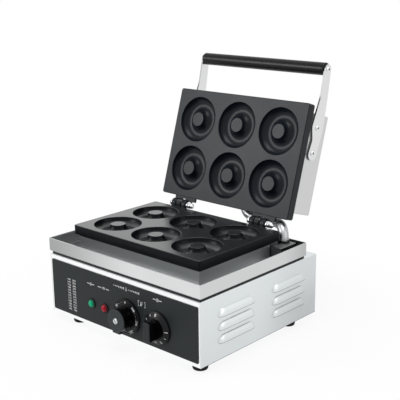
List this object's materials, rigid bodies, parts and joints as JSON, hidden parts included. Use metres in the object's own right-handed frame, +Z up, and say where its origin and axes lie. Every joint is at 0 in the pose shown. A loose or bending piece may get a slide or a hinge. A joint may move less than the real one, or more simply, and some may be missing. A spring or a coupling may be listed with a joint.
{
  "type": "donut maker",
  "caption": "Countertop electric donut maker with ring mould plates, a hinged lid and handle, a drip tray, temperature and timer knobs, indicator lamps and a louvred steel body.",
  "frame": {"origin": "centre of the body's footprint, on the worktop under the feet", "axes": "+X to the machine's right as seen from its front, -Y to the front, +Z up"},
  "size_m": [0.36, 0.3997, 0.4315],
  "materials": {
    "stainless": "brushed stainless sheet",
    "panel_paint": "satin charcoal",
    "cast_plate": "dark non-stick coat",
    "rubber_foot": "matt moulded",
    "bright_steel": "bright plated",
    "heater_sheath": "dull oxidised",
    "copper_bulb": "drawn copper",
    "earth_brass": "plain brass",
    "mineral_board": "pressed mineral fibre",
    "black_plastic": "satin moulded",
    "cap_metal": "spun",
    "control_case": "moulded",
    "terminal_plastic": "moulded",
    "wire_sleeve": "braided glass sleeve",
    "green_lens": "clear dome",
    "red_lens": "clear dome"
  },
  "bodies": {
    "base": {"base_ferrule": "bright_steel", "body_wrap": "stainless", "bottom_plate": "stainless", "conduit_riser": "stainless", "control_panel": "panel_paint", "cord_gland": "black_plastic", "cord_gland_nut": "black_plastic", "drip_tray": "stainless", "earth_stud": "earth_brass", "flex_conduit": "bright_steel", "foot_front_left": "rubber_foot", "foot_front_right": "rubber_foot", "foot_rear_left": "rubber_foot", "foot_rear_right": "rubber_foot", "foot_screws": "bright_steel", "front_sheet": "stainless", "green_lamp_lens": "green_lens", "heat_barrier": "mineral_board", "hinge_bolts": "bright_steel", "hinge_dome_nuts": "bright_steel", "hinge_washers": "bright_steel", "lamp_bezels": "bright_steel", "lamp_bodies": "control_case", "lower_clamp_bolts": "bright_steel", "lower_clamp_plate": "stainless", "lower_heater": "heater_sheath", "lower_insulation": "mineral_board", "lower_plate": "cast_plate", "lower_shroud": "stainless", "plate_stud_nuts": "bright_steel", "plate_studs": "bright_steel", "rear_panel": "stainless", "red_lamp_lens": "red_lens", "terminal_block": "terminal_plastic", "thermal_cutout": "bright_steel", "thermostat_body": "control_case", "thermostat_bulb": "copper_bulb", "timer_body": "control_case", "wiring": "wire_sleeve"},
    "lid": {"upper_plate": "cast_plate", "upper_heater": "heater_sheath", "upper_clamp_plate": "stainless", "upper_clamp_bolts": "bright_steel", "upper_insulation": "mineral_board", "lid_cover": "stainless", "cover_posts": "bright_steel", "cover_screws": "bright_steel", "handle_arm_left": "stainless", "handle_arm_right": "stainless", "handle_grip": "black_plastic", "grip_screws": "bright_steel", "arm_screws": "bright_steel", "arm_nuts": "bright_steel", "lid_ferrule": "bright_steel"},
    "temperature_dial": {"temperature_knob": "black_plastic", "temperature_knob_cap": "cap_metal", "thermostat_shaft": "bright_steel"},
    "timer_dial": {"timer_knob": "black_plastic", "timer_shaft": "bright_steel"}
  },
  "joints": [
    {"name": "lid_hinge", "type": "hinge", "parent": "base", "child": "lid", "pos_m": [0, 0.0967, 0.1667], "axis": [1, 0, 0], "range_deg": [0, 107.25], "deforming": ["flex_conduit"]},
    {"name": "temperature_turn", "type": "hinge", "parent": "base", "child": "temperature_dial", "pos_m": [0.0165, -0.1468, 0.0514], "axis": [0, 1, 0], "range_deg": [0, 315]},
    {"name": "timer_turn", "type": "hinge", "parent": "base", "child": "timer_dial", "pos_m": [0.0855, -0.1468, 0.0514], "axis": [0, 1, 0], "range_deg": [0, 300]}
  ]
}
